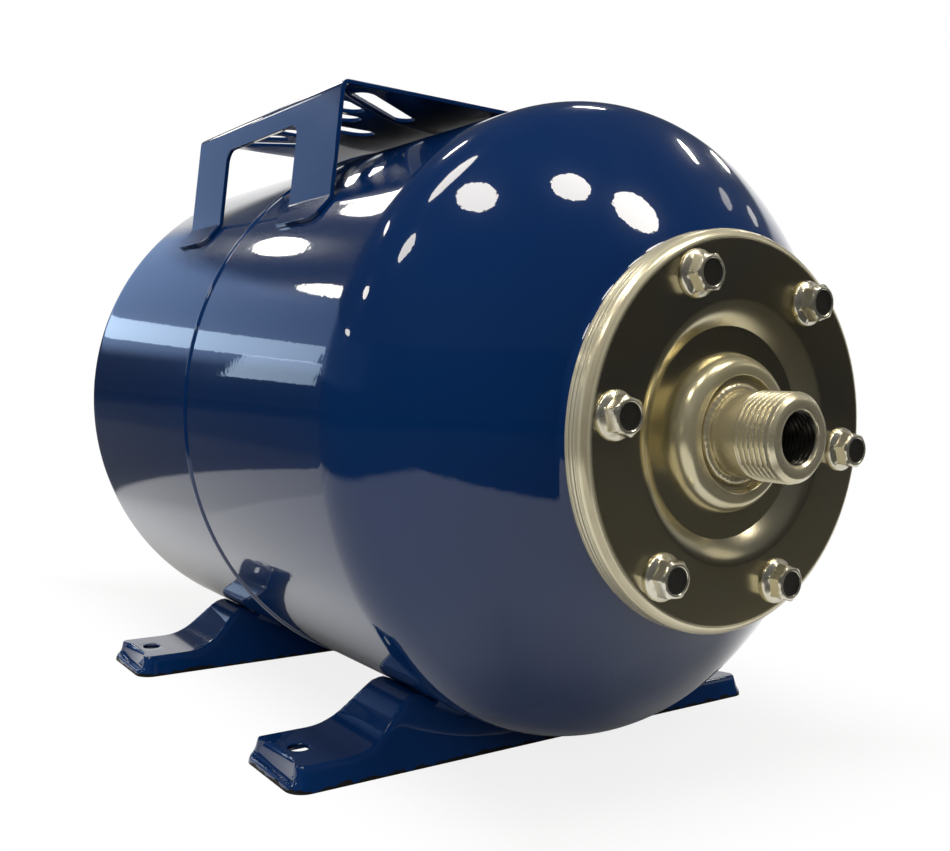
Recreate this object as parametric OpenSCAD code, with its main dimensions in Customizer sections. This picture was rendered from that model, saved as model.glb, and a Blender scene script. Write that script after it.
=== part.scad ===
// Horizontal 24 litre water pressure tank with a bolted end flange,
// two pressed feet and a pump bracket on top.
// Y runs along the tank axis (the water connection faces -Y), Z is up,
// and the floor is z = 0. All lengths are in millimetres.

/* [Tank body] */
// outer diameter of the painted cylinder
tank_d = 270; // [260:1:280]
// straight length between the two domed heads
cylinder_len = 277.5; // [255:0.5:310]
// length of the front shell's straight part, from its head to the seam
front_straight = 133; // [120:1:145]
// sheet thickness of both shells
shell_t = 1.2; // [1:0.1:1.6]
// radius of a head's crown
crown_r = 170; // [164:1:180]
// radius of a head's knuckle, where it turns into the cylinder
knuckle_r = 32; // [28:1:36]
// gap between the floor and the belly of the tank
belly_gap = 11; // [10:0.5:16]

/* [Neck and end flange] */
// outer diameter of the zinc plated flange
flange_d = 152.6; // [150:0.2:155]
// sheet thickness of the flange
flange_t = 2; // [1.5:0.1:2.4]
// depth of the flange, from its face to the back edge of its rim
rim_depth = 9.7; // [9:0.1:10.5]
// bend radius between the flange face and its rim
lip_r = 4.4; // [3.5:0.1:5.5]
// outer diameter of the dished middle of the flange
dish_d = 102; // [100:0.5:104]
// how far the dished middle lies behind the flange face
dish_depth = 5.5; // [4:0.1:6]
// height of the boss around the connection, above the dish floor
boss_h = 8.1; // [7:0.1:9]
// diameter of the boss at its foot
boss_d = 60.6; // [58:0.2:64]
// distance from the flange face back to the head, at the flange's edge
neck_stand = 17.8; // [16:0.1:20]
// thickness of the bladder's lip, squeezed under the flange
gasket_t = 3; // [2:0.1:3.6]
// diameter of the opening in the front shell
mouth_d = 96; // [92:0.5:97]

/* [Flange bolts] */
// number of bolts around the flange
bolt_count = 6; // [5:1:8]
// diameter of the bolt circle
bolt_circle_d = 126; // [125:0.2:127.6]
// turn of the bolt circle about the tank axis, in degrees
bolt_turn = 6.4; // [0:0.1:30]
// thread diameter of a bolt
bolt_d = 8; // [7:0.5:8]
// width of a bolt's hexagon across its flats
bolt_af = 13; // [12:0.5:13]
// height of a bolt's head with its collar
bolt_head_h = 8; // [7:0.1:8.6]
// length of a bolt under its head
bolt_len = 16; // [15:0.5:18]

/* [Water connection] */
// outer diameter of the male pipe thread
pipe_d = 33.25; // [32:0.05:34]
// bore of the connection, at the crests of its inner thread
bore_d = 18.6; // [15:0.1:20]
// length of the connection in front of the flange face
pipe_len = 28.6; // [26:0.1:34]
// length of the threaded stretch, from the open end
thread_len = 17.4; // [14:0.1:19]

/* [Feet] */
// length of a foot, across the tank
foot_len = 262; // [254:1:270]
// width of a foot, along the tank
foot_w = 49.4; // [44:0.2:56]
// height of the flat pad at each end of a foot
pad_h = 10; // [9:0.2:12]
// sheet thickness of a foot
foot_t = 2; // [1.5:0.1:2.5]
// corner radius of a foot seen from above
foot_bend_r = 5; // [3:0.2:7]
// distance between the two feet, middle to middle
foot_pitch = 184; // [170:1:200]
// distance between the two holes of a foot
foot_hole_pitch = 234; // [230:1:238]
// diameter of a foot's hole
foot_hole_d = 9; // [7:0.2:11]

/* [Pump bracket] */
// length of the bracket along the tank
bracket_len = 161; // [150:1:176]
// width of its flat plate, over both bends
plate_w = 192; // [188:1:196]
// gap between the crown of the tank and the underside of the plate
plate_gap = 5.5; // [4:0.1:8]
// sheet thickness of the bracket
bracket_t = 2; // [1.6:0.1:2.4]
// width of each leg of a side wall
leg_w = 40; // [34:0.5:46]
// depth of the strip that joins the legs at the top
wall_strip = 12.5; // [11:0.5:16]
// outer bend radius between the plate and a side wall
bracket_bend_r = 4; // [3:0.2:5]
// width of the long diagonal slots; the short ones are 1.5 wider
slot_w = 10; // [8:0.2:10.6]
// width of the two long cross slots; the short ones are 0.5 narrower
cross_w = 14; // [11:0.2:14.4]

/* [Air valve] */
// diameter of the threaded valve body
valve_d = 11; // [10:0.2:12]
// diameter of its slim tip, under the cap
valve_tip_d = 7.7; // [7:0.1:8]
// outer diameter of the plastic cap
cap_d = 12.4; // [11.6:0.2:13.4]
// length of the cap
cap_len = 15; // [13:0.5:18]

/* [Hidden] */
$fn = 96;

// colours
navy = [0.04, 0.16, 0.36];
zinc = [0.72, 0.68, 0.52];
steel = [0.55, 0.56, 0.58];
rubber = [0.10, 0.10, 0.10];
brass = [0.78, 0.62, 0.30];

// heads: the crown and the knuckle meet head_turn degrees from the axis
tank_r = tank_d / 2;
knuckle_x = tank_r - knuckle_r;
head_turn = asin(knuckle_x / (crown_r - knuckle_r));
crown_back = (crown_r - knuckle_r) * cos(head_turn);
head_depth = crown_r - crown_back;

// places along the axis, measured back from the flange face
flange_r = flange_d / 2;
front_tangent = neck_stand + sqrt(pow(crown_r, 2) - pow(flange_r, 2)) - crown_back;
rear_tangent = front_tangent + cylinder_len;
seam_at = front_tangent + front_straight;
seam_gap = 2;
tongue_len = 12;
slip = 0.1;
bag_gap = 22;
neck_face = flange_t + gasket_t;
neck_r = flange_r - flange_t - 2.3;
ring_t = 6;
flare_at = rim_depth + 1.8;
flare_r = flange_r + 17.7;
valve_flat_r = 11;
valve_sag = crown_r - sqrt(pow(crown_r, 2) - pow(valve_flat_r, 2));
valve_seat = rear_tangent + head_depth - valve_sag;
valve_washer_t = 1.2;
valve_nut_h = 5;
valve_seal_t = 2;
valve_head_t = 2.5;
valve_base_len = 8;
valve_end = valve_seat + valve_base_len + 0.4 + cap_len;

// places in the frame of the whole part
axis_h = tank_r + belly_gap;
face_y = -(valve_end - pipe_len) / 2;
tank_mid = front_tangent + cylinder_len / 2;

// flange
bolt_hole_r = bolt_d / 2 + 0.5;
dish_edge_r = dish_d / 2 - 10.6;
boss_r = boss_d / 2;
boss_crest_r = boss_r - 5.9;
crest_y = dish_depth - boss_h;
cup_y = crest_y + 3.8;
pipe_r = pipe_d / 2;
pipe_neck_r = pipe_r - 0.4;

// feet
saddle_r = tank_r;
foot_lip = 3;
foot_lip_h = 3.4;
foot_draft = 0.3;
crest_x = tank_r / 2;
crest_z = axis_h - sqrt(pow(saddle_r, 2) - pow(crest_x, 2));
crest_turn = asin(crest_x / saddle_r);
crest_r = 9;
rise_start = foot_len / 2 - 27.5;
rise_r = 25;
rise_turn = 43;
rise_foot = [rise_start - rise_r * sin(rise_turn), pad_h + rise_r * (1 - cos(rise_turn))];
rise_run = (crest_z - pad_h - (rise_r + crest_r) * (1 - cos(rise_turn))) / sin(rise_turn);
rise_head = rise_foot + rise_run * [-cos(rise_turn), sin(rise_turn)];

// bracket, seen from the front
plate_z = axis_h + tank_r + plate_gap + bracket_t;
tab_low = 37.3;
tab_high = 42.6;
tab_r = tank_r + bracket_t;
window_len = bracket_len - 2 * leg_w;
window_top = plate_z - wall_strip;
window_r = 6;

// Bends and outlines

function unit(v) = v / norm(v);
function turn_right(v) = [v[1], -v[0]];

// points of an arc about c, from angle a0 to angle a1
function arc(c, r, a0, a1, n) =
    [for (k = [0:n]) c + r * [cos(a0 + (a1 - a0) * k / n), sin(a0 + (a1 - a0) * k / n)]];

// the corner b between a and c, rounded to radius r
function bend(a, b, c, r) =
    let (u = unit(a - b), v = unit(c - b), half = acos(u * v) / 2,
         mid = b + unit(u + v) * r / sin(half),
         from = b + u * r / tan(half) - mid, to = b + v * r / tan(half) - mid,
         a0 = atan2(from[1], from[0]), sweep = atan2(to[1], to[0]) - a0,
         way = sweep > 180 ? sweep - 360 : sweep < -180 ? sweep + 360 : sweep)
    arc(mid, r, a0, a0 + way, max(3, ceil(abs(way) / 12)));

// where a path's point lands when the path moves t to its right
function beside(p, i, t) =
    let (n = len(p) - 1,
         u = unit(p[min(i + 1, n)] - p[min(i, n - 1)]),
         w = unit(p[max(i, 1)] - p[max(i - 1, 0)]),
         m = unit(turn_right(u) + turn_right(w)))
    p[i] + m * t / (m * turn_right(u));

// a bent sheet: the path is its outer face, its body lies to the right
module sheet(path, t) {
    last = len(path) - 1;
    polygon(concat(path, [for (i = [last:-1:0]) beside(path, i, t)]));
}

// everything turned about the tank axis is drawn as [radius, distance
// behind the flange face] and set in place here
module on_axis() {
    translate([0, face_y, axis_h]) rotate([-90, 0, 0]) children();
}

module turned() {
    on_axis() rotate_extrude() children();
}

module mirrored_x() {
    children();
    mirror([1, 0, 0]) children();
}

module mirrored_y() {
    children();
    mirror([0, 1, 0]) children();
}

// Shells

// half section of a head and its straight part, apex towards -y
module head_section(inset, straight) {
    intersection() {
        translate([0, crown_back]) circle(crown_r - inset, $fn = 240);
        polygon([[0, crown_back], [0, -crown_r],
            [(crown_back + crown_r) * tan(head_turn), -crown_r]]);
    }
    intersection() {
        translate([knuckle_x, 0]) circle(knuckle_r - inset, $fn = 120);
        translate([0, -knuckle_r]) square([tank_r, knuckle_r]);
    }
    square([tank_r - inset, straight]);
}

function head_y(r) = front_tangent + crown_back - sqrt(pow(crown_r, 2) - pow(r, 2));

// the neck steps down from the head through a short flare
module neck_section(inset) {
    lean = 1.3 * inset;
    translate([0, neck_face + inset])
        square([neck_r - inset, flare_at + lean - neck_face - inset + 1]);
    polygon([[0, flare_at + lean], [neck_r + 2.5, flare_at + lean],
        [flare_r, head_y(flare_r) + lean], [flare_r - 20, front_tangent], [0, front_tangent]]);
}

module front_outline(inset) {
    translate([0, front_tangent]) head_section(inset, front_straight + (inset > 0 ? 1 : 0));
    neck_section(inset);
}

module rear_outline(inset) {
    body = cylinder_len - front_straight - seam_gap - inset;
    translate([0, rear_tangent]) intersection() {
        mirror([0, 1]) head_section(inset, body);
        translate([0, -body]) square([tank_r, body + head_depth - valve_sag - inset]);
    }
    tongue_r = tank_r - shell_t - slip - inset;
    extra = inset > 0 ? 1 : 0;
    translate([0, seam_at - tongue_len - extra])
        square([tongue_r, tongue_len + seam_gap + shell_t + extra]);
}

module flange_holes(r) {
    on_axis() for (k = [0:bolt_count - 1]) rotate(180 + bolt_turn + k * 360 / bolt_count)
        translate([bolt_circle_d / 2, 0, -5]) cylinder(r = r, h = 40);
}

module front_shell() {
    color(navy) difference() {
        turned() difference() {
            front_outline(0);
            front_outline(shell_t);
            translate([0, -10]) square([mouth_d / 2, neck_face + shell_t + 11]);
        }
        flange_holes(bolt_hole_r);
    }
}

module rear_shell() {
    color(navy) turned() difference() {
        rear_outline(0);
        rear_outline(shell_t);
        translate([0, valve_seat - 3]) square([valve_d / 2 + 0.2, 6]);
    }
}

// one bead around the lap between the two shells
module seam_weld() {
    bead_r = 2.6;
    color(navy) turned() difference() {
        intersection() {
            translate([tank_r - bead_r + 0.9, seam_at + seam_gap / 2]) circle(bead_r, $fn = 60);
            translate([tank_r - shell_t - slip, seam_at - 5]) square([6, 12]);
        }
        front_outline(0);
        rear_outline(0);
    }
}

// flat ring inside the neck that takes the flange bolts
module neck_ring() {
    color(steel) difference() {
        turned() translate([mouth_d / 2, neck_face + shell_t])
            square([neck_r - shell_t - 0.3 - mouth_d / 2, ring_t]);
        flange_holes(bolt_d / 2 + 0.05);
    }
}

// Bladder: a rubber bag that hangs from its lip under the flange

module bladder_section() {
    wall = 2.5;
    bag_r = tank_r - bag_gap;
    tube_r = mouth_d / 2 - 0.3;
    tube_y = flange_t + gasket_t + ring_t + 6;
    shoulder_y = front_tangent + bag_gap;
    end_y = rear_tangent - 2 * bag_gap;
    nose = head_depth;
    lip_out = (bolt_circle_d - bolt_d) / 2 - 1.5;
    difference() {
        union() {
            translate([tube_r - wall, flange_t]) square([lip_out - tube_r + wall, gasket_t]);
            sheet(concat([[tube_r, neck_face - 1], [tube_r, tube_y]],
                [for (a = [15:15:75]) [tube_r + (bag_r - tube_r) * (1 - cos(a)),
                    tube_y + (shoulder_y - tube_y) * sin(a)]],
                [for (a = [0:10:90]) [bag_r * cos(a), (a == 0 ? shoulder_y + 6 : end_y) + nose * sin(a)]]), -wall);
        }
        flange_section();
        translate([-2 * wall, 0]) square([2 * wall, rear_tangent + 2 * nose]);
    }
}

module bladder() {
    color(rubber) turned() bladder_section();
}

// End flange, drawn from the back edge of its rim in to the pipe

module flange_section() {
    path = concat(
        [[flange_r, rim_depth]],
        arc([flange_r - lip_r, lip_r], lip_r, 0, -90, 7),
        [for (s = [0:0.125:1]) [dish_d / 2 - s * 10.6, dish_depth * (1 - cos(90 * s))]],
        [for (a = [0:11.25:90]) [boss_crest_r + 5.9 * cos(a), dish_depth - boss_h * sin(a)]],
        bend([boss_crest_r, crest_y], [boss_crest_r - 2.4, crest_y], [boss_crest_r - 3, cup_y], 0.9),
        [[boss_crest_r - 3, cup_y], [pipe_neck_r + slip, cup_y]]);
    sheet(path, flange_t);
}

module end_flange() {
    color(zinc) difference() {
        turned() flange_section();
        flange_holes(bolt_hole_r);
    }
}

// male pipe thread outside, female thread in the bore; the threads
// themselves are left plain at their crests
module inlet_stub() {
    bore_r = bore_d / 2;
    inner_end = cup_y + flange_t + 1.5;
    color(zinc) turned() polygon([
        [bore_r, 1.1 - pipe_len], [bore_r + 1.1, -pipe_len],
        [pipe_r - 2.3, -pipe_len], [pipe_r, 2.3 - pipe_len],
        [pipe_r, thread_len - pipe_len], [pipe_neck_r, thread_len + 0.6 - pipe_len],
        [pipe_neck_r, inner_end], [bore_r, inner_end]]);
}

module stub_weld() {
    color(zinc) turned() intersection() {
        translate([pipe_neck_r + 0.8, cup_y - 0.6]) circle(2.6, $fn = 48);
        translate([pipe_neck_r, cup_y - 5]) square(5);
    }
}

// hexagon bolt with a collar and a dished top, axis along z, seat at z = 0
module bolt() {
    collar_r = bolt_af * 0.68;
    corner_r = bolt_af / 2 / cos(30);
    difference() {
        intersection() {
            cylinder(r = corner_r, h = bolt_head_h, $fn = 6);
            rotate_extrude() polygon([[0, 0], [corner_r + 1, 0], [corner_r + 1, bolt_head_h - 1.7],
                [bolt_af / 2 - 0.7, bolt_head_h], [0, bolt_head_h]]);
        }
        translate([0, 0, bolt_head_h - 0.6]) cylinder(r1 = bolt_af / 2 - 2.3, r2 = bolt_af / 2 - 1.5, h = 1);
    }
    rotate_extrude() polygon([[0, 0], [collar_r - 0.4, 0], [collar_r, 0.4], [collar_r, 1.2],
        [bolt_af / 2, 2.7], [0, 2.7]]);
    translate([0, 0, -bolt_len]) cylinder(d = bolt_d, h = bolt_len + 1);
}

module flange_bolts() {
    color(zinc) on_axis() for (k = [0:bolt_count - 1])
        rotate(180 + bolt_turn + k * 360 / bolt_count)
            translate([bolt_circle_d / 2, 0, 0]) rotate([180, 0, 17 * k]) bolt();
}

// Feet: one pressing each, with a pad at both ends, an S-shaped rise up to
// the tank and a saddle that follows its belly; hollow underneath

// top edge of a foot's right half seen from the front: leaning end wall,
// pad, hollow bend, slope, round crest and on under the tank
foot_line = concat(
    [[foot_len / 2 - foot_lip, foot_lip_h], [foot_len / 2 - foot_lip - 2, pad_h - 1],
        [foot_len / 2 - foot_lip - 3, pad_h]],
    arc([rise_start, pad_h + rise_r], rise_r, -90, -90 - rise_turn, 8),
    arc(rise_head - crest_r * [sin(rise_turn), cos(rise_turn)], crest_r, 90 - rise_turn, 90, 5),
    [[0, crest_z]]);

// that half as an area, moved in by inset; the outer one stands on a lip
module foot_front(inset) {
    line = [for (i = [0:len(foot_line) - 1]) beside(foot_line, i, -inset)];
    end = foot_len / 2;
    base = inset > 0 ? [[line[0][0], -5]] : [[end, -5], [end, foot_lip_h - 0.8], [end - 0.8, foot_lip_h]];
    difference() {
        polygon(concat([[-1, -5]], base, line, [[-1, crest_z - inset]]));
        translate([0, axis_h]) circle(saddle_r + inset, $fn = 240);
    }
}

// outline of a foot seen from above, with rounded corners
module foot_plan(half_len, half_w, r) {
    square([2 * half_len, 2 * (half_w - r)], center = true);
    square([2 * (half_len - r), 2 * half_w], center = true);
    for (sx = [-1, 1], sy = [-1, 1]) translate([sx * (half_len - r), sy * (half_w - r)]) circle(r, $fn = 48);
}

// the sides of a foot lean in towards its top
module foot_body(inset) {
    half = foot_w / 2 - inset;
    top = crest_z + 8;
    intersection() {
        rotate([90, 0, 0]) linear_extrude(foot_w, center = true) mirrored_x() foot_front(inset);
        rotate([90, 0, 90]) linear_extrude(foot_len, center = true)
            polygon([[-half - 1, -5], [half + 1, -5], [half + 1, -1], [half, 0],
                [half - foot_draft * top, top], [foot_draft * top - half, top], [-half, 0], [-half - 1, -1]]);
        translate([0, 0, inset > 0 ? -1 : 0]) linear_extrude(axis_h)
            foot_plan(foot_len / 2 - (inset > 0 ? foot_lip + inset : 0), foot_w / 2 - inset + 1.5,
                foot_bend_r + 3 - inset);
    }
}

module foot() {
    difference() {
        foot_body(0);
        foot_body(foot_t);
        mirrored_x() translate([foot_hole_pitch / 2, 0, pad_h - foot_t - 1])
            cylinder(d = foot_hole_d, h = foot_t + 2);
    }
}

module at_foot(side) {
    translate([0, face_y + tank_mid + side * foot_pitch / 2, 0]) children();
}

// four short fillets where the sides of a foot meet the tank
module foot_welds() {
    run = 15;
    leg = 3.6;
    turn = crest_turn - 6;
    lean = foot_draft * cos(turn);
    side_y = foot_w / 2 - foot_draft * (axis_h - saddle_r * cos(turn)) + slip;
    mirrored_x() mirrored_y() translate([0, side_y, axis_h])
        rotate([0, -turn, 0]) translate([0, 0, -saddle_r])
            rotate([90, 0, 90 - atan(foot_draft * sin(turn))]) linear_extrude(run, center = true)
                polygon([[0, 0], [leg, 0], [leg * 0.75, -leg * 0.6], [lean * leg, -leg]]);
}

module front_foot() { color(navy) at_foot(-1) foot(); }
module rear_foot() { color(navy) at_foot(1) foot(); }
module front_foot_welds() { color(navy) at_foot(-1) foot_welds(); }
module rear_foot_welds() { color(navy) at_foot(1) foot_welds(); }

// Pump bracket: one folded sheet, tab - wall - plate - wall - tab

function on_tank(a, r) = [-r * cos(a), axis_h + r * sin(a)];
function flip(p) = [for (i = [len(p) - 1:-1:0]) [-p[i][0], p[i][1]]];

module bracket_profile() {
    top = [-plate_w / 2, plate_z];
    heel = on_tank(tab_high, tab_r);
    tab = [for (k = [0:3]) on_tank(tab_low + (tab_high - 2.2 - tab_low) * k / 3, tab_r)];
    half = concat(tab, bend(tab[3], heel, top, 2), bend(heel, top, [0, plate_z], bracket_bend_r));
    sheet(concat(half, flip(half)), bracket_t);
}

module slot(a, b, w) {
    run = b - a;
    translate(a) rotate(atan2(run[1], run[0])) {
        translate([0, -w / 2]) square([norm(run), w]);
        circle(d = w, $fn = 48);
        translate([norm(run), 0]) circle(d = w, $fn = 48);
    }
}

// slots of the left half of the plate, from its middle
module plate_openings() {
    for (side = [-1, 1]) {
        slot([-78, side * 66.5], [-41, side * 40], slot_w);
        slot([-80, side * 47.2], [-69.5, side * 39.9], slot_w + 1.5);
        slot([-69.5, side * 23.2], [-63, side * 23.2], cross_w - 0.5);
    }
    slot([-70, 0], [-42.5, 0], cross_w);
}

module pump_bracket() {
    color(navy) translate([0, face_y + tank_mid + 1, 0]) difference() {
        rotate([90, 0, 0]) linear_extrude(bracket_len, center = true) bracket_profile();
        // the open window between the legs of each side wall
        rotate([90, 0, 90]) linear_extrude(400, center = true) {
            translate([-window_len / 2, axis_h]) square([window_len, window_top - window_r - axis_h]);
            translate([window_r - window_len / 2, axis_h]) square([window_len - 2 * window_r, window_top - axis_h]);
            for (side = [-1, 1]) translate([side * (window_len / 2 - window_r), window_top - window_r])
                circle(window_r, $fn = 48);
        }
        translate([0, 0, plate_z - 8]) linear_extrude(12) mirrored_x() plate_openings();
        // cut corners of the tabs, and the dents of their spot welds
        mirrored_x() for (y0 = [-bracket_len / 2, -window_len / 2, window_len / 2, bracket_len / 2]) {
            translate([0, y0, axis_h]) rotate([0, tab_low, 0]) translate([-tab_r, 0, -1])
                rotate([45, 0, 0]) cube([12, 6, 6], center = true);
        }
        mirrored_x() for (side = [-1, 1], k = [-1, 1])
            translate([0, side * (bracket_len - leg_w) / 2 + k * leg_w * 0.27, axis_h])
                rotate([0, (tab_low + tab_high) / 2 - 0.9, 0]) translate([-tab_r - 1, 0, 0])
                    rotate([0, 90, 0]) cylinder(r = 2.6, h = 1.5);
    }
}

// Air valve, at the middle of the rear head

module valve_stem() {
    inner = valve_seat - shell_t - valve_seal_t;
    tip_end = valve_seat + valve_base_len + cap_len - 3.5;
    base_end = valve_seat + valve_base_len;
    color(brass) turned() difference() {
        union() {
            translate([0, inner - valve_head_t]) square([9, valve_head_t]);
            translate([0, inner - 1]) square([valve_d / 2, base_end - inner + 1]);
            translate([0, base_end - 1]) square([valve_tip_d / 2, tip_end - base_end + 1]);
        }
        translate([0, inner - valve_head_t - 1]) square([1.6, tip_end]);
        translate([0, tip_end - 14]) square([2.6, 20]);
    }
}

module valve_seal() {
    color(rubber) turned() translate([valve_d / 2, valve_seat - shell_t - valve_seal_t])
        square([9 - valve_d / 2, valve_seal_t]);
}

module valve_washer() {
    color(steel) turned() translate([valve_d / 2 + 0.15, valve_seat]) square([3.8, valve_washer_t]);
}

module valve_nut() {
    color(brass) on_axis() translate([0, 0, valve_seat + valve_washer_t]) difference() {
        intersection() {
            cylinder(d = (valve_d + 4) / cos(30), h = valve_nut_h, $fn = 6);
            rotate_extrude() polygon([[0, 0], [(valve_d + 4) / 2, 0], [(valve_d + 4) / 2 + 1.6, 1],
                [(valve_d + 4) / 2 + 1.6, valve_nut_h - 1], [(valve_d + 4) / 2, valve_nut_h], [0, valve_nut_h]]);
        }
        translate([0, 0, -1]) cylinder(r = valve_d / 2 + 0.05, h = valve_nut_h + 2);
    }
}

module valve_core() {
    tip_end = valve_seat + valve_base_len + cap_len - 3.5;
    color(brass) turned() {
        translate([0, tip_end - 13.9]) square([2.5, 12.4]);
        translate([0, tip_end - 2]) square([0.9, 1.8]);
    }
}

module valve_cap() {
    start = valve_seat + valve_base_len + 0.4;
    rib = 0.7;
    color(rubber) difference() {
        on_axis() translate([0, 0, start]) {
            rotate_extrude() difference() {
                union() {
                    square([cap_d / 2 - rib, cap_len - 2]);
                    square([cap_d / 2 - rib - 2, cap_len]);
                    translate([cap_d / 2 - rib - 2, cap_len - 2]) circle(2, $fn = 32);
                }
                translate([0, -1]) square([valve_tip_d / 2 + 0.15, cap_len - 2]);
            }
            for (k = [0:11]) rotate(k * 30) translate([cap_d / 2 - rib, 0, 0.6]) cylinder(r = rib, h = cap_len - 3.6, $fn = 24);
        }
    }
}

front_shell();
rear_shell();
seam_weld();
neck_ring();
bladder();
end_flange();
inlet_stub();
stub_weld();
flange_bolts();
front_foot();
front_foot_welds();
rear_foot();
rear_foot_welds();
pump_bracket();
valve_stem();
valve_seal();
valve_washer();
valve_nut();
valve_core();
valve_cap();
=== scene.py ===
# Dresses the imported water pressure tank: painted shells, plated end flange,
# threads, bolts, weld beads, pressed feet and the folded pump bracket.
# Everything is in metres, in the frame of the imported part, but most settings
# are in millimetres and are turned into metres where they are used.
import math
import random

import bmesh
import bpy
from mathutils import Matrix, Vector, noise
from mathutils.geometry import delaunay_2d_cdt


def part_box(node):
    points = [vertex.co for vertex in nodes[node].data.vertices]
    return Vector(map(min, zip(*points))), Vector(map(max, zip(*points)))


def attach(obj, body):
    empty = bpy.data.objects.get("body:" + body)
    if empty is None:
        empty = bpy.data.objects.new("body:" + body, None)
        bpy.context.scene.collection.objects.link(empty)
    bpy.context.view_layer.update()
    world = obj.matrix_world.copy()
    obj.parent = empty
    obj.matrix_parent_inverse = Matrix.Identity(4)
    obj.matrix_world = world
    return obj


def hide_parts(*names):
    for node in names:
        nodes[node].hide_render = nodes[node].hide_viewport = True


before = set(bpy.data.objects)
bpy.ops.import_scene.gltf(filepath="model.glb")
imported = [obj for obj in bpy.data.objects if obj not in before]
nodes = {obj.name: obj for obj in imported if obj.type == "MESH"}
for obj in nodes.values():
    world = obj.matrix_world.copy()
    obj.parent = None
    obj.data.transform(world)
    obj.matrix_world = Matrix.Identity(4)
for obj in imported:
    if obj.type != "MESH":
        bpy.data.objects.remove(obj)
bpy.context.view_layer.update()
mm = 0.001

# places shared by the pieces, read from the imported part
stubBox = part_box("inlet_stub")
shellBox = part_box("front_shell")
tank = {
    "radius": shellBox[1][0],
    "axisHeight": (shellBox[0][2] + shellBox[1][2]) / 2,
    "stubLength": 28.6 * mm,
    "crownRadius": 170 * mm,
    "knuckleRadius": 32 * mm,
    "flangeRadius": 76.3 * mm,
    "neckStand": 17.8 * mm,
    "bodyLength": 277.5 * mm,
    "frontStraight": 133 * mm,
    "sheet": 1.2 * mm,
}
tank["faceY"] = stubBox[0][1] + tank["stubLength"]
kneeCentre = tank["radius"] - tank["knuckleRadius"]
crownReach = tank["crownRadius"] - tank["knuckleRadius"]
kneeAngle = math.asin(kneeCentre / crownReach)
crownBack = crownReach * math.cos(kneeAngle)
flangeSag = math.sqrt(tank["crownRadius"] ** 2 - tank["flangeRadius"] ** 2)
# distances behind the flange face where the cylinder starts and ends
frontTangent = tank["neckStand"] + flangeSag - crownBack
rearTangent = frontTangent + tank["bodyLength"]
headDepth = tank["crownRadius"] - crownBack
tankMiddle = frontTangent + tank["bodyLength"] / 2
print("frame loaded, flange face at", round(tank["faceY"], 4))


def linkPiece(name, mesh, replaced):
    piece = bpy.data.objects.new(name, mesh)
    bpy.context.scene.collection.objects.link(piece)
    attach(piece, "root")
    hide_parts(*replaced)
    return piece


def newPiece(name, verts, faces, material, smoothAngle, replaced):
    mesh = bpy.data.meshes.new(name)
    mesh.from_pydata([tuple(v) for v in verts], [], faces)
    mesh.validate()
    mesh.polygons.foreach_set("use_smooth", [True] * len(mesh.polygons))
    mesh.set_sharp_from_angle(angle=math.radians(smoothAngle))
    mesh.materials.append(material)
    return linkPiece(name, mesh, replaced)


def faceOutwards(piece, smoothAngle):
    shape = bmesh.new()
    shape.from_mesh(piece.data)
    bmesh.ops.remove_doubles(shape, verts=shape.verts, dist=0.000002)
    bmesh.ops.recalc_face_normals(shape, faces=shape.faces)
    shape.to_mesh(piece.data)
    shape.free()
    piece.data.set_sharp_from_angle(angle=math.radians(smoothAngle))


def onAxis(radius, along, turn):
    # a point [radius, distance behind the flange face] turned about the tank axis
    return Vector((radius * math.cos(turn), tank["faceY"] + along,
                   tank["axisHeight"] + radius * math.sin(turn)))


def ringFaces(segments, count):
    # joins closed outlines of count points all the way round
    faces = []
    for s in range(segments):
        t = (s + 1) % segments
        for i in range(count):
            j = (i + 1) % count
            faces.append((s * count + i, s * count + j, t * count + j, t * count + i))
    return faces


def turnedPiece(name, loop, material, replaced, segments, smoothAngle=35, ripple=None):
    # a closed outline in [radius, along], turned about the tank axis
    verts = []
    for s in range(segments):
        turn = 2 * math.pi * s / segments
        for i, (radius, along) in enumerate(loop):
            if ripple:
                radius, along = ripple(radius, along, turn, i)
            verts.append(onAxis(radius, along, turn))
    faces = ringFaces(segments, len(loop))
    faceOutwards(newPiece(name, verts, faces, material, smoothAngle, replaced), smoothAngle)


def arcPoints(centre, radius, start, end, steps):
    # start and end in degrees
    turns = [math.radians(start + (end - start) * k / steps) for k in range(steps + 1)]
    return [(centre[0] + radius * math.cos(t), centre[1] + radius * math.sin(t)) for t in turns]


def roundCorner(before, corner, after, radius, steps=5):
    # the fillet of a corner between two straight runs
    a, b, c = Vector(before), Vector(corner), Vector(after)
    u, v = (a - b).normalized(), (c - b).normalized()
    half = u.angle(v) / 2
    centre = b + (u + v).normalized() * (radius / math.sin(half))
    reach = radius / math.tan(half)
    first, last = b + u * reach - centre, b + v * reach - centre
    startTurn = math.atan2(first.y, first.x)
    sweep = (math.atan2(last.y, last.x) - startTurn + math.pi) % (2 * math.pi) - math.pi
    turns = [startTurn + sweep * k / steps for k in range(steps + 1)]
    return [(centre.x + radius * math.cos(t), centre.y + radius * math.sin(t)) for t in turns]


def besidePath(path, thickness):
    # the same path moved to its right by the sheet's thickness
    moved = []
    for i, point in enumerate(path):
        before, after = path[max(i - 1, 0)], path[min(i + 1, len(path) - 1)]
        u = (Vector(after) - Vector(point)).normalized() if after != point else None
        w = (Vector(point) - Vector(before)).normalized() if before != point else u
        u = u or w
        right = Vector((u.y + w.y, -u.x - w.x)).normalized()
        reach = thickness / max(right.dot(Vector((u.y, -u.x))), 0.4)
        moved.append(tuple(Vector(point) + right * reach))
    return moved


def sheetLoop(path, thickness):
    return list(path) + besidePath(path, thickness)[::-1]


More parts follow.
